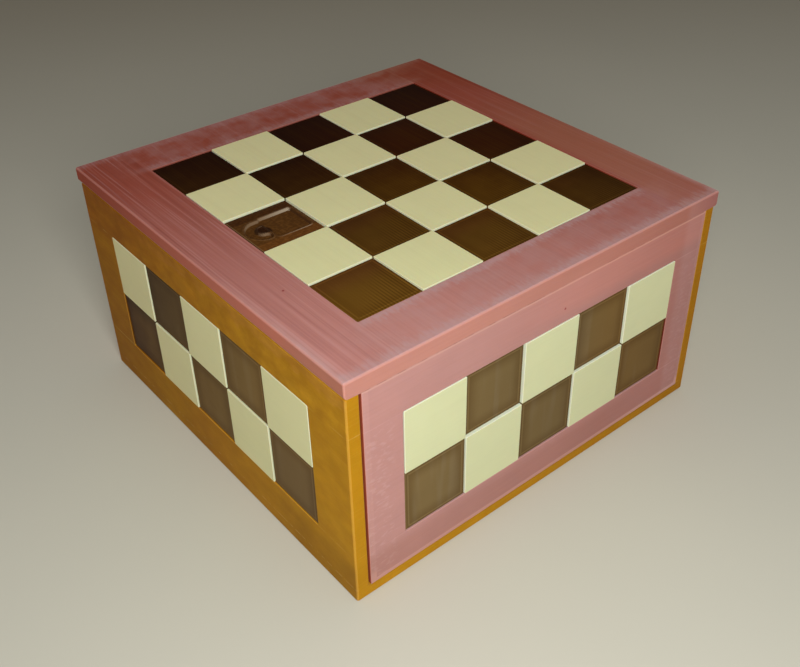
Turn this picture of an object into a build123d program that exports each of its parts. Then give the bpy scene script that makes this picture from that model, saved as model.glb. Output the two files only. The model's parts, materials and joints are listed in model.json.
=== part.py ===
"""Chess box: an amber base, a pink lift-off cover, inlaid squares and a hidden sliding lock.

Millimetres, +Z up, origin at the centre of the underside. The padlock square is in the
column nearest -X, over the left wall.
"""

import os

from build123d import *

os.makedirs("parts", exist_ok=True)

# Squares
pitch = 19.0
board_squares = 5
side_rows = 2
square_gap = 0.2
square_corner = 0.4
square_chamfer = 0.3
light_proud = 0.2
dark_sunk = 0.15
board_recess = 2.0
side_recess = 1.6

# Base
frame_margin = 15.0
top_margin = 11.5
wall = 3.8
floor_thickness = 3.8
outer_round = 0.6
foot_chamfer = 0.5
rib_width = 1.5
rib_height = 3.0
lead_in = 0.6

# Cover
lid_thickness = 4.5
lid_overhang = 0.5
lid_round = 0.5
lid_chamfer = 0.4
lip_radius = 1.2
panel_proud = 0.5
panel_bevel_width = 1.6
panel_bevel_depth = 0.2
panel_inner_round = 1.5
panel_side_gap = 0.25
panel_foot_gap = 0.15

# Padlock square and its engraving
lock_column = 0
lock_row = 2
lock_square_gap = 0.4
lock_nail_chamfer = 0.5
engraving_depth = 1.0
padlock_width = 10.1
padlock_height = 10.6
padlock_corner = 1.0
padlock_offset = 2.85
shackle_radius = 3.45
shackle_width = 2.6
shackle_leg = 1.2
shackle_opening = 14.0

# Sliding bolt with its guide, thumb knob and keeper
bolt_travel = 5.0
bolt_length = 25.5
bolt_width = 10.0
bolt_height = 4.0
bolt_nose = 1.0
slide_gap = 0.2
knob_length = 7.0
knob_width = 8.0
knob_neck = 5.0
knob_round = 1.2
knob_stem = 3.6
knob_stem_depth = 2.6
knob_drop = 0.4
knob_grips = 3
grip_width = 0.8
grip_depth = 0.5
stop_gap = 0.3
stem_gap = 0.05
glue_gap = 0.1
guide_wall = 2.2
guide_length = 27.0
collar_wall = 1.6
flange_reach = 4.6
flange_thickness = 2.2
keeper_reach = 6.0
keeper_width = 20.0
keeper_bar = 2.2
keeper_slack = 0.4
keeper_pocket = 0.8
keeper_top_gap = 0.4
keeper_nose_gap = 1.0

# How close an edge must lie to a level to be picked by it
pick_margin = 0.01

# Derived sizes
board_length = board_squares * pitch
side_field_height = side_rows * pitch
body_length = board_length + 2 * frame_margin
body_height = frame_margin + side_field_height + top_margin
total_height = body_height + lid_thickness
lid_length = body_length + 2 * lid_overhang
recess_length = board_length + square_gap
recess_height = side_field_height + square_gap
inner_half = body_length / 2 - wall
panel_face = body_length / 2 + panel_proud
panel_length = 2 * (inner_half - panel_side_gap)
panel_bottom = floor_thickness + panel_foot_gap
board_floor = total_height - board_recess
side_centre = frame_margin + side_field_height / 2

# Planes of the five inlaid fields, each lying on the face around it and facing outward
board_plane = Plane(origin=(0, 0, total_height), x_dir=(1, 0, 0), z_dir=(0, 0, 1))
front_plane = Plane(origin=(0, -panel_face, side_centre), x_dir=(1, 0, 0), z_dir=(0, -1, 0))
back_plane = Plane(origin=(0, panel_face, side_centre), x_dir=(-1, 0, 0), z_dir=(0, 1, 0))
left_plane = Plane(origin=(-body_length / 2, 0, side_centre), x_dir=(0, -1, 0), z_dir=(-1, 0, 0))
right_plane = Plane(origin=(body_length / 2, 0, side_centre), x_dir=(0, 1, 0), z_dir=(1, 0, 0))

# Levels and places of the lock, from the underside of the lid and the padlock square's centre
lock_x = (lock_column - (board_squares - 1) / 2) * pitch
lock_y = (lock_row - (board_squares - 1) / 2) * pitch
keeper_top = body_height - keeper_top_gap
slot_top = keeper_top - keeper_bar
bolt_top = slot_top - keeper_slack
bolt_bottom = bolt_top - bolt_height
slot_bottom = bolt_bottom - keeper_slack
keeper_bottom = slot_bottom - keeper_bar
slot_width = bolt_width + 2 * keeper_slack
keeper_face = -inner_half + keeper_reach
guide_start = keeper_face + keeper_nose_gap
guide_centre = guide_start + guide_length / 2
tunnel_width = bolt_width + 2 * slide_gap
guide_bottom = bolt_bottom - slide_gap - guide_wall
knob_x = lock_x + bolt_travel / 2
thumb_slot_length = knob_length + bolt_travel + 2 * stop_gap
thumb_slot_width = knob_width + 2 * stop_gap
collar_length = thumb_slot_length + 2 * collar_wall
collar_width = thumb_slot_width + 2 * collar_wall
neck_slot_length = knob_neck + bolt_travel + 2 * stop_gap
neck_slot_width = knob_neck + 2 * slide_gap


def save(part, name):
    """Label a finished piece and write it under that name."""
    part.label = name
    export_step(part, f"parts/{name}.step")


def inlay(plane, recess, rows, cells, dark):
    """Squares glued into one field, at the given (column, row) cells."""
    thickness = recess - dark_sunk if dark else recess + light_proud
    side = pitch - square_gap
    places = [
        ((column - (board_squares - 1) / 2) * pitch, (row - (rows - 1) / 2) * pitch)
        for column, row in cells
    ]
    with BuildPart() as squares:
        with BuildSketch(plane.offset(-recess)) as outline:
            with Locations(*places):
                Rectangle(side, side)
            chamfer(outline.vertices(), square_corner)
        extrude(amount=thickness)
        outward = Axis(plane.origin, plane.z_dir)
        chamfer(squares.faces().group_by(outward)[-1].edges(), square_chamfer)
    return squares.part


def is_dark(column, row):
    """Dark squares alternate with light ones, from the first column's first row on."""
    return (column + row) % 2 == 0


# Base: floor, left and right walls, and the ribs that place the cover's panels
with BuildPart() as base_shell:
    with BuildSketch():
        Rectangle(body_length, body_length)
    extrude(amount=floor_thickness)
    with BuildSketch(Plane.XY.offset(floor_thickness)):
        with Locations((-inner_half - wall / 2, 0), (inner_half + wall / 2, 0)):
            Rectangle(wall, body_length)
    extrude(amount=body_height - floor_thickness)
    corner_edges = base_shell.edges().filter_by(Axis.Z).group_by(SortBy.LENGTH)[-1]
    fillet(corner_edges, outer_round)
    post_edges = base_shell.edges().filter_by(Axis.Z).group_by(SortBy.LENGTH)[0]
    fillet(post_edges, outer_round)
    chamfer(base_shell.faces().sort_by(Axis.Z)[0].edges(), foot_chamfer)
    rib_y = panel_face - wall - panel_side_gap - rib_width / 2
    with BuildSketch(Plane.XY.offset(floor_thickness)):
        with Locations((0, -rib_y), (0, rib_y)):
            Rectangle(2 * inner_half, rib_width)
    extrude(amount=rib_height)
    rib_tops = base_shell.faces().filter_by(Axis.Z).group_by(Axis.Z)[2]
    chamfer(rib_tops.edges().filter_by(Axis.X), lead_in)
    wall_tops = base_shell.faces().sort_by(Axis.Z)[-2:]
    inner_edges = wall_tops.edges().filter_by(Axis.Y).sort_by(lambda edge: abs(edge.center().X))[:2]
    chamfer(inner_edges, lead_in)
    with BuildSketch(left_plane, right_plane):
        RectangleRounded(recess_length, recess_height, square_corner)
    extrude(amount=-side_recess, mode=Mode.SUBTRACT)
    pocket_plane = Plane(origin=(-inner_half, lock_y, 0), x_dir=(0, 1, 0), z_dir=(1, 0, 0))
    with BuildSketch(pocket_plane):
        with Locations((0, (keeper_top + keeper_bottom) / 2)):
            Rectangle(keeper_width + 2 * glue_gap, keeper_top - keeper_bottom + 2 * glue_gap)
    extrude(amount=-keeper_pocket, mode=Mode.SUBTRACT)
save(base_shell.part, "base_shell")

# Cover: front and back panels under the lid, the board's recess and the well for the lock
with BuildPart() as cover_shell:
    with BuildSketch(Plane.XY.offset(panel_bottom)):
        with Locations((0, wall / 2 - panel_face), (0, panel_face - wall / 2)):
            Rectangle(panel_length, wall)
    extrude(amount=body_height - panel_bottom)
    for side in (0, -1):
        outer_face = cover_shell.faces().sort_by(Axis.Y)[side]
        rim = outer_face.edges().sort_by(Axis.Z)[:-1]
        chamfer(rim, panel_bevel_width, panel_bevel_depth, reference=outer_face)
    feet = cover_shell.faces().sort_by(Axis.Z)[:2]
    foot_edges = feet.edges().filter_by(Axis.X).sort_by(lambda edge: abs(edge.center().Y))[:2]
    chamfer(foot_edges, lead_in)
    with BuildSketch(Plane.XZ.offset(-lid_length / 2)) as lid_profile:
        with Locations((0, body_height + lid_thickness / 2)):
            Rectangle(lid_length, lid_thickness)
        fillet(lid_profile.vertices().group_by(Axis.Y)[0], lip_radius)
    extrude(amount=lid_length)
    with BuildSketch(Plane.XY.offset(panel_bottom)):
        RectangleRounded(lid_length, lid_length, lid_round)
    extrude(amount=total_height - panel_bottom, mode=Mode.INTERSECT)
    chamfer(cover_shell.faces().sort_by(Axis.Z)[-1].edges(), lid_chamfer)
    under_lid = cover_shell.edges().filter_by(Axis.X).filter_by_position(
        Axis.Z, body_height - pick_margin, body_height + pick_margin
    )
    fillet(under_lid.sort_by(lambda edge: abs(edge.center().Y))[:2], panel_inner_round)
    with BuildSketch(board_plane):
        RectangleRounded(recess_length, recess_length, square_corner)
    extrude(amount=-board_recess, mode=Mode.SUBTRACT)
    with BuildSketch(front_plane, back_plane):
        RectangleRounded(recess_length, recess_height, square_corner)
    extrude(amount=-side_recess, mode=Mode.SUBTRACT)
    with BuildSketch(Plane.XY.offset(body_height)):
        with Locations((lock_x, lock_y)):
            RectangleRounded(collar_length + 2 * glue_gap, collar_width + 2 * glue_gap, knob_round)
    extrude(amount=lid_thickness, mode=Mode.SUBTRACT)
save(cover_shell.part, "cover_shell")

# Board squares, named by column letter and row number from the near left corner
for column in range(board_squares):
    for row in range(board_squares):
        if (column, row) != (lock_column, lock_row):
            cells = [(column, row)]
            square = inlay(board_plane, board_recess, board_squares, cells, is_dark(column, row))
            save(square, f"board_square_{'abcde'[column]}{row + 1}")

# Side squares: one by one on the front and left, joined by colour on the back and right
side_cells = [(column, row) for column in range(board_squares) for row in range(side_rows)]
for side_name, plane in (("front", front_plane), ("left", left_plane)):
    for column, row in side_cells:
        square = inlay(plane, side_recess, side_rows, [(column, row)], is_dark(column, row))
        save(square, f"{side_name}_square_{'abcde'[column]}{row + 1}")
for side_name, plane in (("back", back_plane), ("right", right_plane)):
    for colour, dark in (("light", False), ("dark", True)):
        cells = [cell for cell in side_cells if is_dark(*cell) == dark]
        squares = inlay(plane, side_recess, side_rows, cells, dark)
        save(squares, f"{side_name}_{colour}_squares")

# Padlock square: loose in its place, with an open padlock cut into its top
lock_side = pitch - lock_square_gap
lock_top = total_height - dark_sunk
with BuildPart() as lock_square:
    with BuildSketch(Plane.XY.offset(board_floor)) as outline:
        with Locations((lock_x, lock_y)):
            Rectangle(lock_side, lock_side)
        chamfer(outline.vertices(), square_corner)
    extrude(amount=lock_top - board_floor)
    chamfer(lock_square.faces().sort_by(Axis.Z)[-1].edges(), lock_nail_chamfer)
    engraving_plane = Plane(origin=(lock_x, lock_y, lock_top), x_dir=(1, 0, 0), z_dir=(0, 0, 1))
    with BuildSketch(engraving_plane):
        with Locations((padlock_offset, 0)):
            RectangleRounded(padlock_width, padlock_height, padlock_corner)
        bend_x = padlock_offset - padlock_width / 2 - shackle_leg
        with BuildLine():
            bend = CenterArc((bend_x, 0), shackle_radius, 90, 180 - shackle_opening)
            Line(bend @ 0, (bend_x + 2 * shackle_leg, shackle_radius))
        trace(line_width=shackle_width)
    extrude(amount=-engraving_depth, mode=Mode.SUBTRACT)
save(lock_square.part, "lock_square")

# Bolt guide: a tunnel glued under the lid, with a collar that fills the lid's well
with BuildPart() as bolt_guide:
    with BuildSketch(Plane.XY.offset(guide_bottom)):
        with Locations((guide_centre, lock_y)):
            Rectangle(guide_length, tunnel_width + 2 * guide_wall)
    extrude(amount=body_height - guide_bottom)
    with BuildSketch(Plane.XY.offset(body_height - flange_thickness)):
        with Locations((guide_centre, lock_y)):
            Rectangle(guide_length, tunnel_width + 2 * (guide_wall + flange_reach))
    extrude(amount=flange_thickness)
    fillet(bolt_guide.edges().filter_by(Axis.Z), knob_round)
    with BuildSketch(Plane.XY.offset(body_height)):
        with Locations((lock_x, lock_y)):
            RectangleRounded(collar_length, collar_width, knob_round)
    extrude(amount=board_floor - body_height)
    with BuildSketch(Plane.XY.offset(body_height)):
        with Locations((lock_x, lock_y)):
            RectangleRounded(thumb_slot_length, thumb_slot_width, knob_round)
    extrude(amount=board_floor - body_height, mode=Mode.SUBTRACT)
    with BuildSketch(Plane.XY.offset(bolt_top)):
        with Locations((lock_x, lock_y)):
            Rectangle(neck_slot_length, neck_slot_width)
    extrude(amount=body_height - bolt_top, mode=Mode.SUBTRACT)
    tunnel_plane = Plane(origin=(guide_start, lock_y, 0), x_dir=(0, 1, 0), z_dir=(1, 0, 0))
    with BuildSketch(tunnel_plane):
        with Locations((0, (bolt_top + bolt_bottom) / 2)):
            Rectangle(tunnel_width, bolt_height + 2 * slide_gap)
    extrude(amount=guide_length, mode=Mode.SUBTRACT)
save(bolt_guide.part, "bolt_guide")

# Bolt, drawn back: its nose is level with the guide's end
with BuildPart() as lock_bolt:
    with BuildSketch(Plane.XY.offset(bolt_bottom)):
        with Locations((guide_start + bolt_length / 2, lock_y)):
            Rectangle(bolt_length, bolt_width)
    extrude(amount=bolt_height)
    chamfer(lock_bolt.faces().sort_by(Axis.X)[0].edges(), bolt_nose)
    with Locations((knob_x, lock_y, bolt_top)):
        Hole(knob_stem / 2 + stem_gap, knob_stem_depth + stem_gap)
save(lock_bolt.part, "lock_bolt")

# Thumb knob: pressed into the bolt through the collar, just below the padlock square
knob_top = board_floor - knob_drop
with BuildPart() as thumb_knob:
    with BuildSketch(Plane.XY.offset(body_height + slide_gap)):
        with Locations((knob_x, lock_y)):
            RectangleRounded(knob_length, knob_width, knob_round)
    extrude(amount=knob_top - body_height - slide_gap)
    grip_pitch = knob_length / (knob_grips + 1)
    with BuildSketch(Plane.XY.offset(knob_top)):
        with Locations((knob_x, lock_y)):
            with GridLocations(grip_pitch, 0, knob_grips, 1):
                Rectangle(grip_width, knob_width)
    extrude(amount=-grip_depth, mode=Mode.SUBTRACT)
    with BuildSketch(Plane.XY.offset(bolt_top)):
        with Locations((knob_x, lock_y)):
            RectangleRounded(knob_neck, knob_neck, knob_round)
    extrude(amount=body_height + slide_gap - bolt_top)
    with BuildSketch(Plane.XY.offset(bolt_top - knob_stem_depth)):
        with Locations((knob_x, lock_y)):
            Circle(knob_stem / 2)
    extrude(amount=knob_stem_depth)
save(thumb_knob.part, "thumb_knob")

# Keeper: glued into a pocket inside the left wall, sloped underneath
with BuildPart() as lock_keeper:
    with BuildSketch(Plane.XZ.offset(-lock_y - keeper_width / 2)):
        with BuildLine():
            Polyline(
                (-inner_half - keeper_pocket, keeper_bottom),
                (-inner_half, keeper_bottom),
                (keeper_face, slot_bottom - keeper_bar / 2),
                (keeper_face, keeper_top),
                (-inner_half - keeper_pocket, keeper_top),
                close=True,
            )
        make_face()
    extrude(amount=keeper_width)
    with BuildSketch(pocket_plane.offset(-keeper_pocket)):
        with Locations((0, (slot_top + slot_bottom) / 2)):
            Rectangle(slot_width, slot_top - slot_bottom)
    extrude(amount=keeper_pocket + keeper_reach, mode=Mode.SUBTRACT)
    chamfer(lock_keeper.faces().sort_by(Axis.X)[-1].outer_wire().edges().filter_by(Axis.Y), slide_gap)
save(lock_keeper.part, "lock_keeper")
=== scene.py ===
"""The looks of the chess box: printed plastics, softened edges, hand-laid squares, studio and camera."""
import json
import math
import random
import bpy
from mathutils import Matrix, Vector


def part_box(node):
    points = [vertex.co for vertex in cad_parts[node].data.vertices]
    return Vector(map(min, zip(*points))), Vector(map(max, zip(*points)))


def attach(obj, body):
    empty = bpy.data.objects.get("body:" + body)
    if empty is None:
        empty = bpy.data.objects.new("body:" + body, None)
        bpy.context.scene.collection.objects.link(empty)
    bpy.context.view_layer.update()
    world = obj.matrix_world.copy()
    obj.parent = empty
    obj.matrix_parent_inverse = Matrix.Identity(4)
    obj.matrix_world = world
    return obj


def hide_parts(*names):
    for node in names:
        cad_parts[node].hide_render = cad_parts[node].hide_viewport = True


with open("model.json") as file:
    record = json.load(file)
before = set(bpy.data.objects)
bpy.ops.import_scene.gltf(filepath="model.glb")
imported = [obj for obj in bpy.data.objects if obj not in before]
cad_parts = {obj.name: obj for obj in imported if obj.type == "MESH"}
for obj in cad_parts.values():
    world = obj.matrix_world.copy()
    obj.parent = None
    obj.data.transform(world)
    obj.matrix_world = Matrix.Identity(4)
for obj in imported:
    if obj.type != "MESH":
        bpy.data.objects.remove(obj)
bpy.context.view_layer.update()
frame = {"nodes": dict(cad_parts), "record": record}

from types import SimpleNamespace

import bmesh
import bpy
from mathutils import Matrix, Vector

MM = 0.001

# Rounding of the printed shells' edges
WELD = 0.002 * MM
FLAT_ANGLE = math.radians(0.5)
SHARP_ANGLE = math.radians(35)
EDGE_ROUNDING = 0.16 * MM
EDGE_SEGMENTS = 2
SMOOTH_LIMIT = math.cos(math.radians(50))
FLAT_LIMIT = math.cos(math.radians(0.4))

# Squares: their own roundings, frame line and how unevenly they were laid
TILE_CORNER = 0.18 * MM
TILE_CORNER_STEPS = 4
LIGHT_EDGE = (0.14 * MM, 0.14 * MM)
DARK_EDGE = (0.4 * MM, 0.22 * MM)
TILE_EDGE_STEPS = 3
TILE_SPREAD = 0.06 * MM
FRAME_WIDTH = 0.95 * MM
FRAME_GROOVE = 0.2 * MM
FRAME_GROOVE_DEPTH = 0.07 * MM
TILE_TILT = math.radians(0.1)
TILE_TURN = math.radians(0.12)
LIGHT_SINK = (0.04 * MM, 0.11 * MM)
SIDE_LIGHT_SINK = (0.11 * MM, 0.19 * MM)
DARK_SINK = (0.03 * MM, 0.12 * MM)
DEEP_SQUARES = {"front_square_b2": 0.3 * MM, "front_square_d2": 0.18 * MM}

# Padlock square: the engraving, and the grid that carries it
LOCK_SIDE_CELLS = 100
LOCK_EDGE = 0.5 * MM
LOCK_CORNER_CUT = 0.25 * MM
ENGRAVING_DEPTH = 0.72 * MM
ENGRAVING_WALL = 0.24 * MM
RIDGE_HEIGHT = 0.16 * MM
RIDGE_WIDTH = 0.2 * MM
RIDGE_AWAY = 0.4 * MM
PADLOCK_CENTRE = 2.85 * MM
PADLOCK_HALF = (5.05 * MM, 5.3 * MM)
PADLOCK_CORNER = 1.0 * MM
SHACKLE_CENTRE = -3.4 * MM
SHACKLE_RADIUS = 3.45 * MM
SHACKLE_HALF_WIDTH = 1.3 * MM
SHACKLE_END = math.radians(256)

# Plastics: reach of the painted light falloff that leaves the near corner paler, and the heights of lines
# left by the printer
NEAR_LIGHT_FULL = -75 * MM
NEAR_LIGHT_NONE = 20 * MM
STRAND_PITCH = 0.87 * MM
SEAM_HEIGHT = 64.5 * MM
LID_FOOT = 64.75 * MM
WINDOW_HEIGHTS = (15.0 * MM, 53.0 * MM)
FLOOR_HEIGHT = 4.1 * MM
PALER_SPOT = Vector((22, 3, 69)) * MM
ROSE_SPECKS = (Vector((-53.2, -26.6, 69.0)) * MM, Vector((3.8, -63.0, 57.2)) * MM)
NEUTRAL = (1, 1, 1, 1)

# Printed lines, the glow within the plastic, and how rough and uneven its surface is
DEEPER_LINE = (0.62, 0.52, 0.52, 1)
DEEPER_STRIPE = (0.78, 0.68, 0.68, 1)
BUMP_STRENGTH = 0.35
BUMP_DEPTH = 0.06 * MM
ROUGHNESS_SWING = 0.12
GLOW_RADII = (1.0, 0.45, 0.15)
GLOW_REACH = 1.2 * MM

# Camera
CAMERA_PLACE = Vector((-0.15191, -0.19443, 0.19948))
CAMERA_TURN = (math.radians(54.853), math.radians(-0.081), math.radians(-40.758))
CAMERA_LENS = 45.29
CAMERA_SHIFT = (-0.04375, -0.03375)


class Shader:
    """One material's node tree, built by one call for each node."""

    def __init__(self, name):
        self.material = bpy.data.materials.new(name)
        self.material.use_nodes = True
        self.nodes = self.material.node_tree.nodes
        self.links = self.material.node_tree.links
        self.nodes.clear()

    def put(self, socket, value):
        """Link or set one input."""
        if isinstance(value, bpy.types.NodeSocket):
            self.links.new(value, socket)
        else:
            socket.default_value = value

    def node(self, kind, inputs=(), **settings):
        made = self.nodes.new(kind)
        for key, value in settings.items():
            setattr(made, key, value)
        for key, value in dict(inputs).items():
            self.put(made.inputs[key], value)
        return made

    def math(self, operation, *values):
        made = self.node("ShaderNodeMath", operation=operation)
        for socket, value in zip(made.inputs, values):
            self.put(socket, value)
        return made.outputs[0]

    def chain(self, operation, values):
        """Take in one value after another by the same operation."""
        total = values[0]
        for value in values[1:]:
            total = self.math(operation, total, value)
        return total

    def times(self, *values):
        return self.chain("MULTIPLY", values)

    def plus(self, *values):
        return self.chain("ADD", values)

    def minus(self, first, second):
        return self.math("SUBTRACT", first, second)

    def largest(self, *values):
        return self.chain("MAXIMUM", values)

    def size(self, value):
        """A value without its sign."""
        return self.math("ABSOLUTE", value)

    def sine(self, value):
        return self.math("SINE", value)

    def between(self, factor, first, second):
        """A number that goes from the first to the second with the factor."""
        return self.node("ShaderNodeMix", {"Factor": factor, "A": first, "B": second}).outputs[0]

    def axes(self, vector):
        """A vector's parts along X, Y and Z."""
        return self.node("ShaderNodeSeparateXYZ", {"Vector": vector}).outputs

    def distance(self, where, point):
        made = self.node("ShaderNodeVectorMath", operation="DISTANCE")
        self.put(made.inputs[0], where)
        self.put(made.inputs[1], point)
        return made.outputs["Value"]

    def mix(self, factor, first, second, blend="MIX"):
        made = self.node("ShaderNodeMix", data_type="RGBA", blend_type=blend)
        self.put(made.inputs[0], factor)
        self.put(made.inputs[6], first)
        self.put(made.inputs[7], second)
        return made.outputs[2]

    def ramp(self, value, low, high):
        """0 below low, 1 above high, smooth between."""
        made = self.node("ShaderNodeMapRange", interpolation_type="SMOOTHSTEP")
        self.put(made.inputs["Value"], value)
        self.put(made.inputs["From Min"], low)
        self.put(made.inputs["From Max"], high)
        return made.outputs["Result"]

    def noise(self, where, per_mm, detail=2.0, stretch=(1, 1, 1)):
        """Noise from 0 to 1, with a number of cells per millimetre, stretched along each direction."""
        scale = tuple(per_mm * s / MM for s in stretch)
        scaled = self.node("ShaderNodeVectorMath", operation="MULTIPLY")
        self.put(scaled.inputs[0], where)
        self.put(scaled.inputs[1], scale)
        inputs = {"Vector": scaled.outputs[0], "Scale": 1.0, "Detail": detail}
        return self.node("ShaderNodeTexNoise", inputs).outputs["Fac"]

    def multiplied(self, colour, by):
        """A colour multiplied by another, or by a number."""
        return self.mix(1.0, colour, by, "MULTIPLY")

    def tint(self, factor, colour, by):
        """Multiply a colour by another where the factor is 1."""
        return self.mix(factor, colour, self.multiplied(colour, by))

    def swing(self, value, amount):
        """A multiplier that swings about 1 with a noise from 0 to 1."""
        return self.plus(1.0 - amount, self.times(value, 2.0 * amount))

    def near(self, value, target, full, none):
        """1 where a value is close to a target, 0 where it is far from it."""
        away = self.size(self.minus(value, target))
        return self.minus(1.0, self.ramp(away, full, none))


def print_fields(s, comb):
    """What a point's finish depends on: its place, its face's direction and the lines it was printed in."""
    where = s.node("ShaderNodeTexCoord").outputs["Object"]
    place = s.axes(where)
    normal = s.axes(s.node("ShaderNodeNewGeometry").outputs["True Normal"])
    sizes = [s.size(normal[axis]) for axis in ("X", "Y", "Z")]
    lean = s.minus(1.0, s.largest(*sizes))
    side, front, level = (s.ramp(size, 0.6, 0.8) for size in sizes)
    strands = s.noise(where, 1.5, 3.0, (1, 0.012, 0.2))
    if comb:
        wave = s.sine(s.times(place["X"], math.tau / STRAND_PITCH))
        strands = s.plus(strands, s.times(wave, comb))
    layers = s.noise(where, 1.6, 3.0, (0.03, 0.03, 1))
    patch = s.noise(where, 0.16, 4.0)
    # Painted light falloff: paler towards the corner nearest the key lamp, ragged by a patch noise, and
    # front faces take a little of it everywhere
    along = s.plus(s.times(place["X"], 0.5), s.times(place["Y"], 0.75))
    ragged = s.plus(along, s.times(s.minus(patch, 0.5), 16 * MM))
    painted_near_light = s.minus(1.0, s.ramp(ragged, NEAR_LIGHT_FULL, NEAR_LIGHT_NONE))
    painted_front_light = s.times(s.minus(1.0, painted_near_light), s.times(front, 0.3))
    across = s.ramp(s.largest(s.size(place["Y"]), place["X"]), 46 * MM, 50 * MM)
    across = s.times(across, s.ramp(place["X"], -50 * MM, -42 * MM))
    outline = s.largest(s.size(place["X"]), s.size(place["Y"]))
    return SimpleNamespace(
        where=where, x=place["X"], y=place["Y"], z=place["Z"], side=side, front=front, level=level,
        upright=s.minus(1.0, level),
        edge=s.ramp(lean, 0.02, 0.06),
        bevel=s.times(s.ramp(lean, 0.003, 0.006), s.minus(1.0, s.ramp(lean, 0.02, 0.06))),
        lines=s.between(level, layers, strands),
        stripes=s.noise(where, 0.28, 3.0, (1, 0.03, 0.1)),
        patch=patch,
        cloud=s.noise(where, 0.05, 2.0),
        painted_near_light=s.plus(painted_near_light, painted_front_light),
        outer=s.ramp(outline, 50 * MM, 56 * MM),
        calm=s.times(s.minus(1.0, s.times(across, 0.8)), level),
        frontward=s.ramp(normal["Y"], -0.3, -0.7),
        leftward=s.ramp(normal["X"], -0.3, -0.7),
    )


def height_lines(s, f, heights):
    """Thin level lines on upright faces, where the outline changed from one layer to the next."""
    total = 0.0
    for height in heights:
        total = s.plus(total, s.near(f.z, height, 0.05 * MM, 0.22 * MM))
    broken = s.ramp(s.noise(f.where, 0.25, 3.0), 0.35, 0.6)
    return s.times(total, f.upright, broken)


def recess_walls(s, f):
    """Walls of the board's recess and of the windows, which look along X or Y from within the outline; the
    rose and amber darken them as painted shade.
    """
    along_x = s.times(s.ramp(s.size(f.x), 50 * MM, 49 * MM), f.side)
    along_y = s.times(s.ramp(s.size(f.y), 50 * MM, 49 * MM), f.front)
    return s.plus(along_x, along_y)


def square_middle(s, f):
    """1 in the middle of each laid square, 0 along its border."""
    total = 1.0
    for place, flat, start in (
        (f.x, f.side, 0.5), (f.y, f.front, 0.5), (f.z, f.level, -WINDOW_HEIGHTS[0] / PITCH),
    ):
        turns = s.math("FRACT", s.plus(s.times(place, 1 / PITCH), start))
        inside = s.ramp(s.size(s.minus(turns, 0.5)), 0.49, 0.24)
        total = s.times(total, s.largest(inside, flat))
    return total


def printed_lines(s, f, tone, pale, strength):
    """Deeper and paler printed lines, and broad deeper stripes on level faces."""
    deeper = s.times(s.ramp(f.lines, 0.55, 0.3), strength)
    tone = s.tint(deeper, tone, DEEPER_LINE)
    tone = s.mix(s.times(s.ramp(f.lines, 0.5, 0.75), strength), tone, pale)
    stripes = s.times(s.ramp(f.stripes, 0.5, 0.7), strength, f.calm)
    return s.tint(stripes, tone, DEEPER_STRIPE)


def printed_plastic(
    name, far, near, pale, edge, marks, front, streaks, mottle, edge_mix, roughness, specular,
    side=NEUTRAL, upright_streaks=0.12, bands=(), comb=0.0, metallic=0.0, translucency=0.0,
    plain_above=None,
):
    """Plastic laid down in lines: along Y on level faces, in level layers on upright ones."""
    s = Shader(name)
    f = print_fields(s, comb)
    # Painted light falloff: the far tone stands in for the shade of the far parts, the near tone for the
    # key lamp's light and a painted sheen near the corner
    tone = s.mix(f.painted_near_light, far, near)
    strength = s.between(f.calm, upright_streaks, streaks)
    tone = s.multiplied(tone, s.swing(f.cloud, mottle))
    tone = s.multiplied(tone, s.swing(f.patch, mottle))
    tone = printed_lines(s, f, tone, pale, strength)
    # Tints by face direction are painted light: front, side and level faces differ in tone as the light
    # falls on them, and the upright brown and padlock faces carry a painted reflection of the pale floor
    tone = s.tint(f.front, tone, front)
    tone = s.tint(f.side, tone, side)
    band = height_lines(s, f, bands) if bands else 0.0
    tone = s.mix(s.times(band, 0.4), tone, pale)
    tone = marks(s, f, tone)
    # Painted highlight on the rounded edges, stronger along the outer rims
    rim = f.outer
    if plain_above:
        rim = s.times(rim, s.ramp(f.z, plain_above, plain_above - 0.5 * MM))
    shine = s.times(s.plus(0.35, s.times(rim, 0.65)), edge_mix)
    tone = s.mix(s.times(f.edge, shine), tone, edge)
    height = s.plus(f.lines, s.times(f.patch, 0.15), s.times(band, 0.5))
    bump = s.node("ShaderNodeBump", {"Strength": BUMP_STRENGTH, "Distance": BUMP_DEPTH, "Height": height})
    shader = s.node("ShaderNodeBsdfPrincipled")
    s.put(shader.inputs["Base Color"], tone)
    rougher = s.times(f.lines, ROUGHNESS_SWING)
    s.put(shader.inputs["Roughness"], s.plus(roughness - ROUGHNESS_SWING / 2, rougher))
    s.put(shader.inputs["Normal"], bump.outputs["Normal"])
    shader.inputs["Specular IOR Level"].default_value = specular
    shader.inputs["Metallic"].default_value = metallic
    shader.inputs["Subsurface Weight"].default_value = translucency
    shader.inputs["Subsurface Radius"].default_value = GLOW_RADII
    shader.inputs["Subsurface Scale"].default_value = GLOW_REACH
    output = s.node("ShaderNodeOutputMaterial")
    s.links.new(shader.outputs[0], output.inputs["Surface"])
    return s.material


# Rose plastic: colours laid over its tone
ROSE_SHEEN = (0.42, 0.29, 0.30, 1)
ROSE_LIT_STRAND_ENDS = (0.47, 0.33, 0.35, 1)
ROSE_RIGHT_SHEEN = (0.42, 0.24, 0.15, 1)
ROSE_SIDE_RIM_SHEEN = (0.52, 0.37, 0.38, 1)
ROSE_BEVEL_HIGHLIGHT = (0.66, 0.37, 0.34, 1)
ROSE_BESIDE_POSTS = (0.58, 0.42, 0.45, 1)
ROSE_SCUFFS = (0.62, 0.40, 0.40, 1)
ROSE_UNDER_SEAM_HIGHLIGHT = (0.66, 0.40, 0.34, 1)
ROSE_SEAM_SHADOW = (0.24, 0.09, 0.06, 1)
ROSE_SPECK_TONE = (0.22, 0.01, 0.015, 1)


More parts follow.
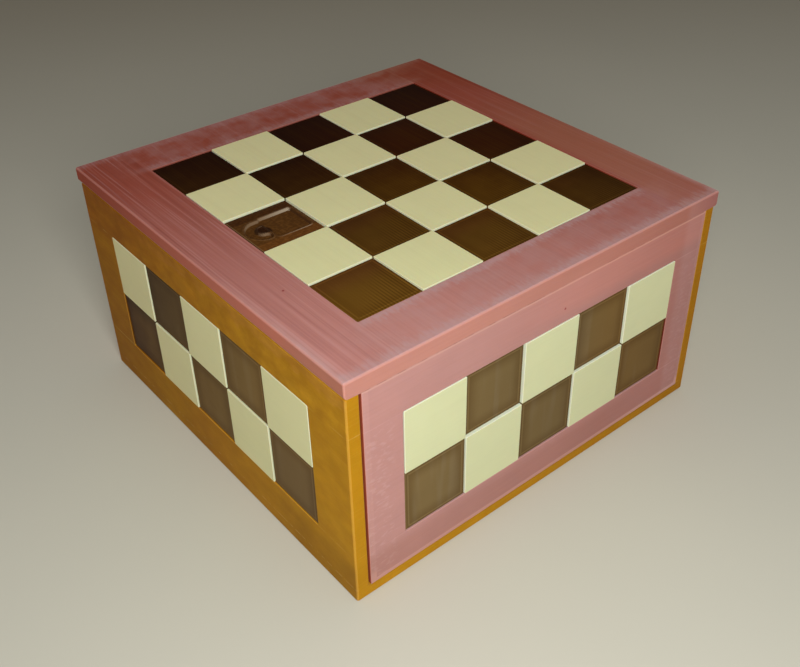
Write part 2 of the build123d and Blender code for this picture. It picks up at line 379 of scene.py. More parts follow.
# Rose plastic: tints that multiply its tone
LID_FRONT_TINT = (1.04, 0.91, 0.80, 1)
LID_FRONT_END_TINT = (0.82, 0.68, 0.72, 1)
LID_FOOT_SHADOW_TINT = (0.42, 0.28, 0.24, 1)
LID_LINE_TINT = (0.72, 0.6, 0.6, 1)
PANEL_GAP_SHADE_TINT = (0.6, 0.4, 0.3, 1)
LID_NEAR_END_TINT = (0.87, 1.0, 1.0, 1)
FAR_CORNER_SHADE_TINT = (0.88, 0.78, 0.58, 1)
PANEL_TOP_TINT = (1.15, 1.05, 1.0, 1)
PANEL_FOOT_TINT = (0.88, 0.83, 0.79, 1)
ROSE_RECESS_SHADE_TINT = (0.6, 0.5, 0.5, 1)


def rim_sheen(s, f, tone):
    """Painted sheen on the front and back rims, with ragged pale ends of strands along both of their edges,
    partly print and partly a painted highlight.
    """
    away = s.size(f.y)
    within = s.ramp(s.size(f.x), 60 * MM, 45 * MM)
    rim = s.times(s.ramp(away, 46 * MM, 49 * MM), s.times(f.level, within))
    # Painted sheen on the rims
    tone = s.mix(s.times(rim, s.ramp(f.patch, 0.3, 0.7)), tone, s.mix(0.25, tone, ROSE_SHEEN))
    ragged = s.times(s.minus(s.noise(f.where, 1.5, 3.0, (1, 0.3, 1)), 0.5), 6 * MM)
    outer = s.times(s.ramp(s.plus(away, ragged), 58.5 * MM, 63 * MM), f.level)
    inner = s.times(s.ramp(s.plus(away, ragged), 51 * MM, 48 * MM), rim)
    board = s.ramp(s.size(f.x), 49 * MM, 46 * MM)
    ends = s.plus(outer, s.times(inner, board))
    # Pale strand ends: print, with a painted highlight that grows towards the front
    strength = s.plus(0.25, s.times(s.ramp(f.y, 50 * MM, -50 * MM), 0.25))
    return s.mix(s.times(ends, strength), tone, ROSE_LIT_STRAND_ENDS)


def lid_seam(s, f, tone):
    """The lid's warmer front over the panel, with the broken dark seam of painted shadow, painted shadow
    under the lid's sides, and the pale line below the seam, a painted highlight.
    """
    lid = s.times(s.ramp(f.z, SEAM_HEIGHT, SEAM_HEIGHT + 0.1 * MM), f.front)
    tone = s.tint(lid, tone, LID_FRONT_TINT)
    tone = s.tint(s.times(lid, s.ramp(f.x, 50 * MM, 63 * MM)), tone, LID_FRONT_END_TINT)
    # Painted shadow under the lid along its sides
    foot = s.times(s.near(f.z, LID_FOOT, 0.12 * MM, 0.4 * MM), f.side)
    tone = s.tint(s.times(foot, 0.8), tone, LID_FOOT_SHADOW_TINT)
    # Painted highlight: the pale line below the seam
    under = s.times(s.near(f.z, SEAM_HEIGHT - 0.35 * MM, 0.1 * MM, 0.4 * MM), f.front)
    tone = s.mix(s.times(under, 0.4), tone, ROSE_UNDER_SEAM_HIGHLIGHT)
    # Painted shadow in the broken seam between lid and panel
    broken = s.ramp(s.noise(f.where, 0.35, 3.0), 0.42, 0.6)
    seam = s.times(s.near(f.z, SEAM_HEIGHT, 0.04 * MM, 0.16 * MM), s.times(f.front, broken))
    return s.mix(s.times(seam, 0.55), tone, ROSE_SEAM_SHADOW)


def rose_sheen_shade_and_tones(s, f, tone):
    """Painted sheen on the right rim, painted shade that deepens the far corner, and the panels' warmer top
    and duller foot.
    """
    # Painted sheen on the right rim
    rim = s.times(f.level, s.ramp(f.x, 47 * MM, 50 * MM))
    right_sheen = s.times(s.near(f.y, -22 * MM, 8 * MM, 60 * MM), 0.26)
    tone = s.mix(s.times(rim, right_sheen), tone, ROSE_RIGHT_SHEEN)
    # Painted shade that deepens the far corner
    corner = s.ramp(s.plus(f.x, f.y), 85 * MM, 105 * MM)
    tone = s.tint(s.times(f.level, corner), tone, FAR_CORNER_SHADE_TINT)
    foot = s.times(s.ramp(f.z, 16 * MM, 11 * MM), s.ramp(f.x, 48 * MM, 20 * MM))
    tone = s.tint(s.times(f.front, foot), tone, PANEL_FOOT_TINT)
    top = s.times(s.ramp(f.z, 54 * MM, 58 * MM), s.ramp(f.x, -30 * MM, 20 * MM))
    top = s.times(top, s.ramp(f.z, SEAM_HEIGHT + 0.1 * MM, SEAM_HEIGHT))
    tone = s.tint(s.times(f.front, top), tone, PANEL_TOP_TINT)
    end = s.times(s.ramp(f.y, -36 * MM, -50 * MM), s.ramp(f.z, SEAM_HEIGHT, SEAM_HEIGHT + 0.3 * MM))
    return s.tint(s.times(f.side, end), tone, LID_NEAR_END_TINT)


def rose_marks(s, f, tone):
    """Painted sheen, a dark line along the lid's sides, pale bevels that are a painted highlight, painted
    shade in the recess, seam and gaps, scuffs by the posts and two specks.
    """
    tone = rim_sheen(s, f, tone)
    inner = s.times(s.near(s.size(f.x), 61.6 * MM, 0.1 * MM, 0.4 * MM), f.level)
    inner = s.times(inner, s.ramp(f.y, -40 * MM, 0.0))
    tone = s.tint(s.times(inner, 0.6), tone, LID_LINE_TINT)
    # Painted sheen along the near part of the lid's side rims
    outer = s.times(s.ramp(s.size(f.x), 60 * MM, 63.5 * MM), s.times(f.level, f.patch))
    tone = s.mix(s.times(outer, s.ramp(f.y, 0.0, -60 * MM)), tone, ROSE_SIDE_RIM_SHEEN)
    # Painted highlight on the panels' bevels, stronger near their foot
    low = s.plus(0.12, s.times(s.ramp(f.z, 9 * MM, 6 * MM), 0.5))
    tone = s.mix(s.times(f.bevel, low), tone, ROSE_BEVEL_HIGHLIGHT)
    # Painted shade on the recess and window walls
    tone = s.tint(s.times(recess_walls(s, f), 0.7), tone, ROSE_RECESS_SHADE_TINT)
    tone = lid_seam(s, f, tone)
    # Painted shade on the panels' sides in the gap beside the posts
    gap = s.times(f.side, s.ramp(f.z, 64.3 * MM, 64 * MM))
    tone = s.tint(gap, tone, PANEL_GAP_SHADE_TINT)
    outside = s.times(s.ramp(s.size(f.y), 61.5 * MM, 62.5 * MM), f.front)
    beside = s.times(s.ramp(s.size(f.x), 49 * MM, 52 * MM), outside)
    scuffed = s.ramp(s.noise(f.where, 0.9, 2.0, (0.6, 1, 1.4)), 0.52, 0.68)
    scuffs = s.times(beside, scuffed, s.ramp(f.z, 54 * MM, 50 * MM))
    leftness = s.ramp(f.x, 40 * MM, -40 * MM)
    paleness = s.times(beside, s.minus(0.12, s.times(leftness, 0.12)))
    tone = s.mix(paleness, tone, ROSE_BESIDE_POSTS)
    scuffs = s.times(scuffs, s.plus(0.12, s.times(leftness, 0.12)))
    tone = s.mix(scuffs, tone, ROSE_SCUFFS)
    tone = rose_sheen_shade_and_tones(s, f, tone)
    for speck in ROSE_SPECKS:
        found = s.minus(1.0, s.ramp(s.distance(f.where, speck), 0.2 * MM, 0.42 * MM))
        tone = s.mix(s.times(found, 0.8), tone, ROSE_SPECK_TONE)
    return tone


# Amber plastic: tints that multiply its tone, and the line along its foot
AMBER_PALE_TINT = (1.25, 1.32, 1.5, 1)
AMBER_DEEP_TINT = (0.8, 0.72, 0.6, 1)
AMBER_LID_SHADOW_REFLECTION_TINT = (0.98, 0.93, 3.2, 1)
AMBER_RECESS_SHADE_TINT = (0.5, 0.42, 0.4, 1)
AMBER_NEAR_FOOT_TINT = (0.77, 0.74, 0.72, 1)
AMBER_FAR_TINT = (1.1, 1.3, 1.0, 1)
AMBER_FOOT_LINE = (0.85, 0.62, 0.30, 1)


def amber_marks(s, f, tone):
    """Mottled walls, with painted shadow and a painted reflection of the rose lid just under the lid,
    painted shade on the recess walls, and a pale ragged line where they leave the floor.
    """
    blotch = s.noise(f.where, 0.26, 3.0, (1, 0.7, 1))
    upper = s.times(s.ramp(f.z, 50 * MM, 56 * MM), f.side)
    amount = s.plus(s.times(upper, 0.3), s.times(f.side, 0.3))
    lighter = s.tint(1.0, tone, AMBER_PALE_TINT)
    tone = s.mix(s.times(s.ramp(blotch, 0.5, 0.68), amount), tone, lighter)
    tone = s.tint(s.times(s.ramp(blotch, 0.52, 0.34), amount), tone, AMBER_DEEP_TINT)
    # Painted shadow and a painted reflection of the rose lid on the walls just under the lid
    wavy = s.plus(f.z, s.times(s.minus(blotch, 0.5), 8 * MM))
    lid_shadow = s.times(s.ramp(wavy, 60.4 * MM, 61.2 * MM), f.side)
    tone = s.tint(s.times(lid_shadow, 0.6), tone, AMBER_LID_SHADOW_REFLECTION_TINT)
    # Painted shade on the recess and window walls
    tone = s.tint(recess_walls(s, f), tone, AMBER_RECESS_SHADE_TINT)
    near_foot = s.times(s.ramp(f.z, 15 * MM, 9 * MM), s.ramp(f.y, -20 * MM, -44 * MM))
    tone = s.tint(s.times(f.side, near_foot), tone, AMBER_NEAR_FOOT_TINT)
    far_part = s.times(s.ramp(f.y, 5 * MM, 30 * MM), s.ramp(f.z, 55 * MM, 48 * MM))
    tone = s.tint(s.times(f.side, far_part), tone, AMBER_FAR_TINT)
    broken = s.ramp(s.noise(f.where, 0.5, 3.0), 0.45, 0.62)
    foot = s.times(s.near(f.z, FLOOR_HEIGHT, 0.04 * MM, 0.2 * MM), s.times(broken, f.upright))
    return s.mix(s.times(foot, 0.25), tone, AMBER_FOOT_LINE)


# Ivory plastic: the painted highlight on the thin walls of its squares
IVORY_WALL_HIGHLIGHT = (0.78, 0.88, 0.80, 1)


def ivory_marks(s, f, tone):
    """The thin walls of the squares, painted whiter than their faces as a highlight, most of all on the
    front.
    """
    walls = 0.0
    for place, near_face, flat, whiteness in (
        (f.z, 66 * MM, f.level, 0.3), (s.size(f.y), 60 * MM, f.front, 0.65),
        (s.size(f.x), 60 * MM, f.side, 0.2),
    ):
        wall = s.times(s.ramp(place, near_face, near_face + MM), s.minus(1.0, flat))
        walls = s.plus(walls, s.times(wall, whiteness))
    # Painted highlight on the walls
    return s.mix(walls, tone, IVORY_WALL_HIGHLIGHT)


# Brown plastic: tints that multiply its tone
BROWN_FAR_PART_TINT = (0.98, 0.84, 1.25, 1)
BROWN_BORDER_SHEEN_TINT = (0.66, 0.58, 0.5, 1)
BROWN_GLOSS_TINT = (1.12, 1.22, 1.6, 1)
BROWN_SPOT_TINT = (1.95, 2.05, 1.0, 1)
BROWN_SIDE_REFLECTION_TINT = (2.3, 2.2, 1.3, 1)
BROWN_FRONT_TINT = (1.27, 1.13, 0.9, 1)
BROWN_EDGE_HIGHLIGHT_TINT = (1.7, 1.85, 2.1, 1)


def board_ripple(s, f, tone):
    """Fine ripple across the near right corner of each dark square on the lid, and a redder far part, both
    where the painted light falloff lights the near squares.
    """
    column = s.math("FRACT", s.plus(s.times(f.x, 1 / PITCH), 0.5))
    row = s.math("FRACT", s.plus(s.times(f.y, 1 / PITCH), 0.5))
    # The near squares of the lid, where the painted light falloff is strong
    near_lit_level = s.times(f.level, s.ramp(f.painted_near_light, 0.05, 0.3))
    tone = s.tint(s.times(s.ramp(row, 0.5, 0.9), near_lit_level), tone, BROWN_FAR_PART_TINT)
    wave = s.sine(s.times(f.x, math.tau / STRAND_PITCH))
    wave = s.math("MULTIPLY_ADD", wave, 0.5, 0.5)
    reach = s.ramp(s.minus(column, row), -0.15, 0.4)
    return s.tint(s.times(reach, near_lit_level), tone, s.swing(wave, 0.26))


def brown_marks(s, f, tone):
    """Faces darker along their borders as painted sheen, upright gloss lines on the sides' squares, side
    squares lightened by a painted reflection, and paler edges from a painted highlight.
    """
    # Painted sheen: each face darkened along its border so its middle looks lit
    border = s.minus(1.0, square_middle(s, f))
    depth = s.plus(0.5, s.times(f.upright, 0.3))
    tone = s.tint(s.times(border, depth), tone, BROWN_BORDER_SHEEN_TINT)
    gloss = s.ramp(s.noise(f.where, 0.3, 2.0, (1, 1, 0.1)), 0.48, 0.7)
    tone = s.tint(s.times(gloss, s.times(f.upright, 0.5)), tone, BROWN_GLOSS_TINT)
    paler = s.ramp(s.distance(f.where, PALER_SPOT), 52 * MM, 10 * MM)
    tone = s.tint(paler, tone, BROWN_SPOT_TINT)
    tone = board_ripple(s, f, tone)
    # Painted reflection that lightens the side squares, most of all the lower far ones
    lower = s.ramp(f.z, 40 * MM, 28 * MM)
    farther = s.between(lower, 0.3, s.ramp(f.y, -45 * MM, 45 * MM))
    tone = s.tint(s.times(f.side, farther), tone, BROWN_SIDE_REFLECTION_TINT)
    tone = s.tint(s.times(f.front, s.ramp(f.x, 5 * MM, 25 * MM)), tone, BROWN_FRONT_TINT)
    # Painted highlight on the edges
    return s.tint(s.times(f.edge, 0.6), tone, BROWN_EDGE_HIGHLIGHT_TINT)


# Padlock square: tints that multiply its tone, and colours laid over it
LOCK_DEEP_TINT = (0.8, 0.75, 0.7, 1)
LOCK_PALE_TINT = (1.2, 1.2, 1.35, 1)
LOCK_FAR_TINT = (0.55, 0.42, 0.3, 1)
LOCK_NEAR_TINT = (1.35, 1.25, 1.2, 1)
LOCK_MIDDLE_SHADE_TINT = (0.3, 0.22, 0.16, 1)
LOCK_LEFT_WALL_SHADE_TINT = (0.5, 0.42, 0.36, 1)
LOCK_LEFT_BORDER = (0.30, 0.19, 0.09, 1)
LOCK_LIT_WALL_LEFT = (0.19, 0.125, 0.075, 1)
LOCK_LIT_WALL_RIGHT = (0.40, 0.34, 0.26, 1)


def lock_marks(s, f, tone):
    """The padlock square: painted shade inside the shackle and on the walls that face left, and a painted
    highlight on the walls that face the front.
    """
    low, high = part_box("lock_square")
    middle = (low + high) / 2
    across = s.minus(f.x, middle.x + SHACKLE_CENTRE)
    up = s.minus(f.y, middle.y)
    away = s.math("SQRT", s.plus(s.times(across, across), s.times(up, up)))
    mottled = s.noise(f.where, 1.5, 4.0, (0.6, 1, 1))
    tone = s.tint(s.ramp(mottled, 0.6, 0.4), tone, LOCK_DEEP_TINT)
    tone = s.tint(s.ramp(mottled, 0.5, 0.7), tone, LOCK_PALE_TINT)
    tone = s.tint(s.times(s.ramp(up, 5.2 * MM, 6.4 * MM), 0.85), tone, LOCK_FAR_TINT)
    tone = s.tint(s.ramp(up, -5.2 * MM, -6.4 * MM), tone, LOCK_NEAR_TINT)
    # Painted shade inside the shackle
    tone = s.tint(s.ramp(away, 2.4 * MM, 1.9 * MM), tone, LOCK_MIDDLE_SHADE_TINT)
    border = s.ramp(s.minus(middle.x, f.x), 8.8 * MM, 9.1 * MM)
    tone = s.mix(s.times(border, 0.6), tone, LOCK_LEFT_BORDER)
    # Painted shade on the walls that face left
    tone = s.tint(s.times(f.leftward, f.edge), tone, LOCK_LEFT_WALL_SHADE_TINT)
    # Painted highlight on the walls that face the front
    pale = s.mix(s.ramp(across, 0.0, 11 * MM), LOCK_LIT_WALL_LEFT, LOCK_LIT_WALL_RIGHT)
    return s.mix(s.times(f.frontward, f.edge, 0.9), tone, pale)


def make_materials():
    """One finish for each of the record's material slots, and the padlock square's own."""
    return {
        "amber_plastic": printed_plastic(
            "amber_plastic", far=(0.30, 0.094, 0.001, 1), near=(0.48, 0.225, 0.007, 1),
            pale=(0.60, 0.38, 0.10, 1), edge=(0.62, 0.36, 0.08, 1),
            front=(0.93, 0.96, 1.05, 1), side=(0.92, 0.94, 1.0, 1),
            marks=amber_marks, bands=WINDOW_HEIGHTS, plain_above=64 * MM,
            streaks=0.12, upright_streaks=0.08, mottle=0.12, edge_mix=0.35,
            roughness=0.48, specular=0.05, translucency=0.2,
        ),
        "rose_plastic": printed_plastic(
            "rose_plastic", far=(0.29, 0.06, 0.036, 1), near=(0.49, 0.225, 0.205, 1),
            pale=(0.56, 0.31, 0.31, 1), edge=(0.58, 0.30, 0.27, 1),
            front=(0.96, 1.08, 1.12, 1), side=(1.05, 0.73, 0.56, 1),
            marks=rose_marks, bands=WINDOW_HEIGHTS,
            streaks=0.38, upright_streaks=0.08, mottle=0.07, edge_mix=0.38,
            roughness=0.45, specular=0.15, translucency=0.1,
        ),
        "ivory_plastic": printed_plastic(
            "ivory_plastic", far=(0.69, 0.66, 0.37, 1), near=(0.68, 0.69, 0.39, 1),
            pale=(0.74, 0.74, 0.46, 1), edge=(0.86, 0.87, 0.74, 1),
            front=(0.91, 0.94, 1.03, 1), side=(1.05, 1.02, 1.04, 1),
            marks=ivory_marks, streaks=0.05, upright_streaks=0.04, mottle=0.03, edge_mix=0.5,
            roughness=0.55, specular=0.15, translucency=0.1,
        ),
        "brown_plastic": printed_plastic(
            "brown_plastic", far=(0.022, 0.0042, 0.0003, 1), near=(0.19, 0.092, 0.0125, 1),
            pale=(0.08, 0.04, 0.006, 1), edge=(0.20, 0.13, 0.06, 1),
            front=(1.12, 1.6, 5.0, 1), side=(0.98, 1.27, 3.7, 1),
            marks=brown_marks, comb=0.12, streaks=0.12, upright_streaks=0.05, mottle=0.06, edge_mix=0.0,
            roughness=0.35, specular=0.01, metallic=0.3,
        ),
        "lock_plastic": printed_plastic(
            "lock_plastic", far=(0.10, 0.038, 0.006, 1), near=(0.13, 0.055, 0.010, 1),
            pale=(0.16, 0.08, 0.03, 1), edge=(0.22, 0.145, 0.085, 1), front=(2.2, 3.0, 6.5, 1),
            marks=lock_marks, comb=0.1, streaks=0.15, mottle=0.15, edge_mix=0.2,
            roughness=0.35, specular=0.06, metallic=0.2,
        ),
    }


def material_slots():
    """Each node's material slot, as the record gives it."""
    return {part["node"]: part["material_slot"] for part in frame["record"]["subparts"]}


def body_of_node():
    """The body that each node rides on."""
    return {node: body for body, nodes in frame["record"]["behaviour"]["bodies"].items() for node in nodes}


def finish_piece(mesh, name, node):
    """Put a mesh in the scene in place of a node, with the node's finish and body."""
    piece = bpy.data.objects.new(name, mesh)
    bpy.context.scene.collection.objects.link(piece)
    mesh.materials.append(MATERIALS["lock_plastic" if node == "lock_square" else SLOTS[node]])
    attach(piece, BODIES[node])
    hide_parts(node)
    return piece


def settle_normals(mesh):
    """Wide faces stay flat to the eye, and the narrow roundings between them shade smoothly."""
    mesh.shade_smooth()
    around = [[] for _ in mesh.vertices]
    for polygon in mesh.polygons:
        for vertex in polygon.vertices:
            around[vertex].append(polygon)
    normals = []
    for polygon in mesh.polygons:
        for vertex in polygon.vertices:
            total = Vector((0, 0, 0))
            for other in around[vertex]:
                if other.normal.dot(polygon.normal) > SMOOTH_LIMIT:
                    total += other.normal * other.area
            normals.append(total.normalized())
    mesh.normals_split_custom_set(normals)
    return mesh


def flat_region(start, seen):
    """The connected faces that lie in one plane with the first."""
    region, waiting = [], [start]
    seen.add(start)
    while waiting:
        face = waiting.pop()
        region.append(face)
        for edge in face.edges:
            for other in edge.link_faces:
                if other not in seen and abs(other.normal.dot(start.normal)) > FLAT_LIMIT:
                    seen.add(other)
                    waiting.append(other)
    return region


def refill_flats(work):
    """Fill each flat region anew from its outline, so that no sliver is left in it."""
    seen, regions = set(), []
    for face in work.faces:
        if face not in seen:
            regions.append(flat_region(face, seen))
    for region in regions:
        if len(region) < 3:
            continue
        inside = set(region)
        widest = max(region, key=lambda face: face.calc_area())
        outward = widest.normal.copy()
        outline = [e for face in region for e in face.edges if sum(f in inside for f in e.link_faces) == 1]
        bmesh.ops.delete(work, geom=region, context="FACES")
        bmesh.ops.triangle_fill(work, edges=outline, use_beauty=True, normal=outward)
    bmesh.ops.recalc_face_normals(work, faces=work.faces)


def softened(node):
    """A node's shape with its sharp edges rounded, as a printer leaves them."""
    work = bmesh.new()
    work.from_mesh(frame["nodes"][node].data)
    bmesh.ops.remove_doubles(work, verts=work.verts, dist=WELD)
    bmesh.ops.dissolve_limit(work, angle_limit=FLAT_ANGLE, verts=work.verts, edges=work.edges)
    bmesh.ops.connect_verts_concave(work, faces=work.faces)
    sharp = [edge for edge in work.edges if edge.is_manifold and edge.calc_face_angle() > SHARP_ANGLE]
    bmesh.ops.bevel(
        work, geom=sharp, offset=EDGE_ROUNDING, segments=EDGE_SEGMENTS, profile=0.5, affect="EDGES",
        clamp_overlap=False,
    )
    work.normal_update()
    refill_flats(work)
    mesh = bpy.data.meshes.new(node + "_soft")
    work.to_mesh(mesh)
    work.free()
    return settle_normals(mesh)


def rounded_loop(half, corner, height):
    """Points of a square with rounded corners, anticlockwise, at one height."""
    points = []
    for quarter in range(4):
        middle = (quarter + 0.5) * math.pi / 2
        away = (half - corner) * math.sqrt(2)
        centre = Vector((away * math.cos(middle), away * math.sin(middle), height))
        for step in range(TILE_CORNER_STEPS + 1):
            angle = (quarter + step / TILE_CORNER_STEPS) * math.pi / 2
            points.append(centre + corner * Vector((math.cos(angle), math.sin(angle), 0)))
    return points


def tile_profile(thickness, edge, framed):
    """A square's profile from its underside to its face, as pairs of inset and height."""
    across, down = edge
    profile = [(0.0, 0.0)]
    for step in range(TILE_EDGE_STEPS + 1):
        angle = step / TILE_EDGE_STEPS * math.pi / 2
        profile.append((across * (1 - math.cos(angle)), thickness - down * (1 - math.sin(angle))))
    if framed:
        profile.append((FRAME_WIDTH - FRAME_GROOVE, thickness))
        profile.append((FRAME_WIDTH, thickness - FRAME_GROOVE_DEPTH))
        profile.append((FRAME_WIDTH + FRAME_GROOVE, thickness))
    return profile


def add_tile(work, place, side, thickness, dark):
    """Add one square, standing on its underside, at a place given by a matrix."""
    loops = []
    for inset, height in tile_profile(thickness, DARK_EDGE if dark else LIGHT_EDGE, dark):
        corner = max(TILE_CORNER - inset, 0.1 * MM)
        points = rounded_loop(side / 2 - inset, corner, height)
        loops.append([work.verts.new(place @ point) for point in points])
    count = len(loops[0])
    for lower, upper in zip(loops, loops[1:]):
        for i in range(count):
            j = (i + 1) % count
            work.faces.new((lower[i], lower[j], upper[j], upper[i]))
    work.faces.new(loops[-1])
    work.faces.new(reversed(loops[0]))


OUTWARD = {
    "board": ((1, 0, 0), (0, 1, 0), (0, 0, 1)),
    "front": ((1, 0, 0), (0, 0, 1), (0, -1, 0)),
    "back": ((-1, 0, 0), (0, 0, 1), (0, 1, 0)),
    "left": ((0, -1, 0), (0, 0, 1), (-1, 0, 0)),
    "right": ((0, 1, 0), (0, 0, 1), (1, 0, 0)),
}


def laid_square(node, lots):
    """The squares of one node, each laid a little unevenly in its place."""
    side_name = node.split("_")[0]
    across, up, out = (Vector(v) for v in OUTWARD[side_name])
    low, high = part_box(node)
    span = high - low
    thickness = abs(span.dot(out))
    width = abs(span.dot(across))
    height = abs(span.dot(up))
    columns = round((width - TILE_SIDE) / PITCH) + 1
    rows = round((height - TILE_SIDE) / PITCH) + 1
    dark = SLOTS[node] == "brown_plastic"
    light_sink = SIDE_LIGHT_SINK if side_name in ("left", "right") else LIGHT_SINK
    usual_sink = DARK_SINK if dark else light_sink
    centre = (low + high) / 2
    work = bmesh.new()
    for column in range(columns):
        for row in range(rows):
            if columns > 1 and ((column + row) % 2 == 0) != dark:
                continue
            offset = across * (column - (columns - 1) / 2) * PITCH + up * (row - (rows - 1) / 2) * PITCH
            base = centre + offset - out * thickness / 2
            place = Matrix.Translation(base) @ Matrix((across, up, out)).transposed().to_4x4()
            uneven = (
                Matrix.Rotation(lots.uniform(-TILE_TURN, TILE_TURN), 4, "Z")
                @ Matrix.Rotation(lots.uniform(-TILE_TILT, TILE_TILT), 4, "X")
                @ Matrix.Rotation(lots.uniform(-TILE_TILT, TILE_TILT), 4, "Y")
            )
            sink = lots.uniform(*usual_sink) + DEEP_SQUARES.get(node, 0)
            add_tile(work, place @ uneven, TILE_SIDE + TILE_SPREAD, thickness - sink, dark)
    mesh = bpy.data.meshes.new(node + "_laid")
    work.to_mesh(mesh)
    work.free()
    return settle_normals(mesh)


def box_distance(across, up, half_across, half_up, corner):
    """Signed distance to the outline of a rounded rectangle round the origin."""
    over_across = abs(across) - half_across + corner
    over_up = abs(up) - half_up + corner
    outside = math.hypot(max(over_across, 0), max(over_up, 0))
    return outside + min(max(over_across, over_up), 0) - corner


def shackle_distance(across, up):
    """Signed distance to the open shackle: a bend with one leg in the body and one loose end."""
    away = across - SHACKLE_CENTRE
    angle = math.atan2(up, away) % math.tau
    if math.pi / 2 <= angle <= SHACKLE_END:
        bend = abs(math.hypot(away, up) - SHACKLE_RADIUS)
    else:
        end_across = SHACKLE_RADIUS * math.cos(SHACKLE_END)
        end_up = SHACKLE_RADIUS * math.sin(SHACKLE_END)
        bend = math.hypot(away - end_across, up - end_up)
    leg = math.hypot(away - min(max(away, 0), PADLOCK_HALF[0]), up - SHACKLE_RADIUS)
    return min(bend, leg) - SHACKLE_HALF_WIDTH


def lock_height(across, up, half):
    """Height of the padlock square's face below its highest level, at one point."""
    body = box_distance(across - PADLOCK_CENTRE, up, *PADLOCK_HALF, PADLOCK_CORNER)
    inside = -min(body, shackle_distance(across, up))
    share = min(max(inside / ENGRAVING_WALL / 2 + 0.5, 0), 1)
    sunk = ENGRAVING_DEPTH * share * share * (3 - 2 * share)
    ridge = RIDGE_HEIGHT * math.exp(-(((inside + RIDGE_AWAY) / RIDGE_WIDTH) ** 2))
    margin = min(half - abs(across), half - abs(up))
    fall = max(LOCK_EDGE - margin, 0)
    rounding = LOCK_EDGE - math.sqrt(max(LOCK_EDGE**2 - fall**2, 0))
    return -max(sunk, rounding, RIDGE_HEIGHT - ridge)


def engraved_square(node):
    """The padlock square: a fine grid for its face, with straight sides and a flat underside."""
    low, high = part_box(node)
    centre, half = (low + high) / 2, (high.x - low.x) / 2
    steps = [half * (2 * i / LOCK_SIDE_CELLS - 1) for i in range(LOCK_SIDE_CELLS + 1)]
    work = bmesh.new()
    rows = []
    for up in steps:
        row = []
        for across in steps:
            corner = abs(across) == half and abs(up) == half
            pull = 1 - LOCK_CORNER_CUT / half if corner else 1
            height = high.z + lock_height(across, up, half)
            row.append(work.verts.new((centre.x + across * pull, centre.y + up * pull, height)))
        rows.append(row)
    for lower, upper in zip(rows, rows[1:]):
        for i in range(LOCK_SIDE_CELLS):
            work.faces.new((lower[i], lower[i + 1], upper[i + 1], upper[i]))
    right, left = [row[-1] for row in rows[:-1]], [row[0] for row in rows[:0:-1]]
    border = rows[0][:-1] + right + rows[-1][:0:-1] + left
    feet = [work.verts.new((vertex.co.x, vertex.co.y, low.z)) for vertex in border]
    for i in range(len(border)):
        j = (i + 1) % len(border)
        work.faces.new((feet[i], feet[j], border[j], border[i]))
    work.faces.new(feet[::-1])
    mesh = bpy.data.meshes.new(node + "_engraved")
    work.to_mesh(mesh)
    work.free()
    return settle_normals(mesh)


# Floor, lamps and world
FLOOR_REACH = 6.0
FLOOR_TONES = ((0.565, 0.57, 0.505, 1), (0.605, 0.605, 0.535, 1))
FLOOR_FAR_SHADE = (0.32, 0.28, 0.21, 1)
KEY_COLOUR = (1.0, 0.97, 0.91)
WARM = (1.0, 0.95, 0.87)
KEY_PLACE = (-0.175, -0.27, 0.24)
KEY_TARGET = (0, 0, 0.03)
FILL_RIGHT_PLACE = (0.8, 0.0, 0.08)
FILL_BACK_PLACE = (0.0, 0.8, 0.08)
FILL_TARGET = (0, 0, 0.045)
FILL_SIZE = 0.12
FILL_ENERGY = 0.36
FILL_SPREAD = 50
WORLD_HEIGHTS = (0.4, 0.9)
WORLD_STRENGTHS = (0.10, 0.36)


def make_floor():
    """A plain pale floor, far larger than the view, with painted shade that deepens it towards its far
    side.
    """
    mesh = bpy.data.meshes.new("floor")
    corners = [(x * FLOOR_REACH, y * FLOOR_REACH, 0) for x, y in ((-1, -1), (1, -1), (1, 1), (-1, 1))]
    mesh.from_pydata(corners, [], [(0, 1, 2, 3)])
    floor = bpy.data.objects.new("floor", mesh)
    bpy.context.scene.collection.objects.link(floor)
    s = Shader("pale_floor")
    shader = s.node("ShaderNodeBsdfPrincipled", {"Roughness": 0.7})
    where = s.node("ShaderNodeTexCoord").outputs["Object"]
    place = s.axes(where)
    tone = s.mix(s.noise(where, 0.01), *FLOOR_TONES)
    # Painted shade: the floor deepens towards its far side
    away = s.ramp(s.plus(s.times(place["X"], 0.6), place["Y"]), 0.0, 0.7)
    s.put(shader.inputs["Base Color"], s.mix(away, tone, FLOOR_FAR_SHADE))
    output = s.node("ShaderNodeOutputMaterial")
    s.links.new(shader.outputs[0], output.inputs["Surface"])
    mesh.materials.append(s.material)
    return floor


def add_area(name, place, target, size, energy, colour, spread=180, passed_over=None):
    """A soft square lamp that faces the target, seen by no gloss, with its beam's spread in degrees."""
    lamp = bpy.data.lights.new(name, "AREA")
    lamp.size = size
    lamp.energy = energy
    lamp.color = colour
    lamp.spread = math.radians(spread)
    holder = bpy.data.objects.new(name, lamp)
    holder.location = place
    holder.rotation_euler = (Vector(target) - Vector(place)).to_track_quat("-Z", "Y").to_euler()
    holder.visible_camera = False
    holder.visible_glossy = False
    bpy.context.scene.collection.objects.link(holder)
    if passed_over:
        unlit = bpy.data.collections.new(name + "_unlit")
        unlit.objects.link(passed_over)
        unlit.collection_objects[0].light_linking.link_state = "EXCLUDE"
        holder.light_linking.receiver_collection = unlit


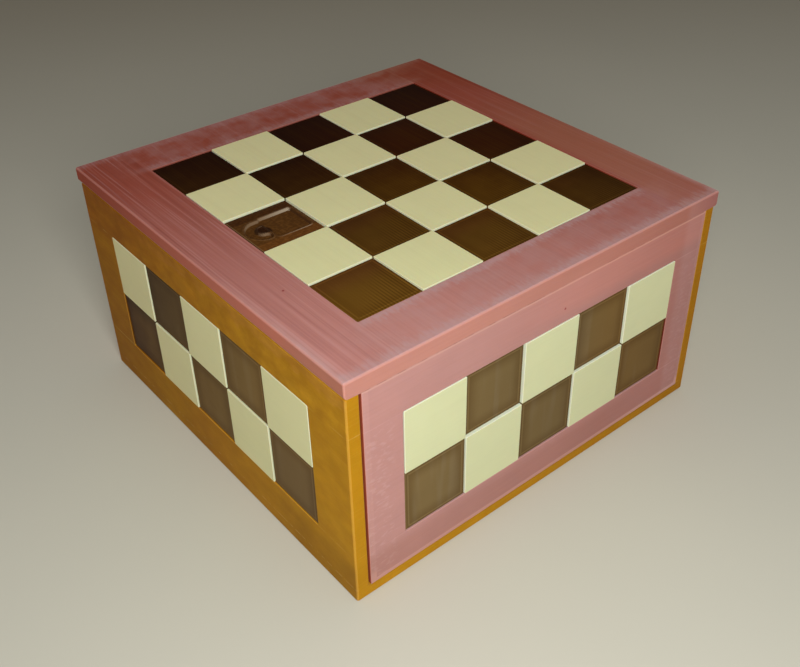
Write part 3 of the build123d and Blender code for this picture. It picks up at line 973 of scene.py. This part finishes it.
def make_lights(floor):
    """Soft key from the front and above, and low fills that light the far sides but not the floor."""
    add_area("key", KEY_PLACE, KEY_TARGET, size=0.14, energy=1.25, colour=KEY_COLOUR)
    for name, place in (("fill_right", FILL_RIGHT_PLACE), ("fill_back", FILL_BACK_PLACE)):
        add_area(name, place, FILL_TARGET, FILL_SIZE, FILL_ENERGY, WARM, FILL_SPREAD, floor)


def make_world():
    """A dim world, brighter overhead."""
    world = bpy.data.worlds.new("studio")
    world.use_nodes = True
    nodes, links = world.node_tree.nodes, world.node_tree.links
    direction = nodes.new("ShaderNodeTexCoord")
    upward = nodes.new("ShaderNodeSeparateXYZ")
    links.new(direction.outputs["Generated"], upward.inputs[0])
    ramp = nodes.new("ShaderNodeMapRange")
    ramp.interpolation_type = "SMOOTHSTEP"
    links.new(upward.outputs["Z"], ramp.inputs["Value"])
    ramp.inputs["From Min"].default_value, ramp.inputs["From Max"].default_value = WORLD_HEIGHTS
    ramp.inputs["To Min"].default_value, ramp.inputs["To Max"].default_value = WORLD_STRENGTHS
    links.new(ramp.outputs["Result"], nodes["Background"].inputs["Strength"])
    nodes["Background"].inputs["Color"].default_value = (*WARM, 1)
    bpy.context.scene.world = world


def make_camera():
    """The camera at the photograph's place and angle."""
    data = bpy.data.cameras.new("camera")
    data.lens = CAMERA_LENS
    data.sensor_width = 36.0
    data.shift_x, data.shift_y = CAMERA_SHIFT
    camera = bpy.data.objects.new("camera", data)
    camera.location = CAMERA_PLACE
    camera.rotation_euler = CAMERA_TURN
    bpy.context.scene.collection.objects.link(camera)
    bpy.context.scene.camera = camera


first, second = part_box("board_square_a1"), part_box("board_square_b1")
PITCH = second[0].x - first[0].x
TILE_SIDE = first[1].x - first[0].x
SLOTS = material_slots()
BODIES = body_of_node()
MATERIALS = make_materials()

lots = random.Random(5)
for node in sorted(frame["nodes"]):
    if node == "lock_square":
        finish_piece(engraved_square(node), node + "_engraved", node)
    elif "_square" in node:
        finish_piece(laid_square(node, lots), node + "_laid", node)
    else:
        finish_piece(softened(node), node + "_soft", node)

floor = make_floor()
make_lights(floor)
make_world()
make_camera()
bpy.context.scene.view_settings.view_transform = "Standard"
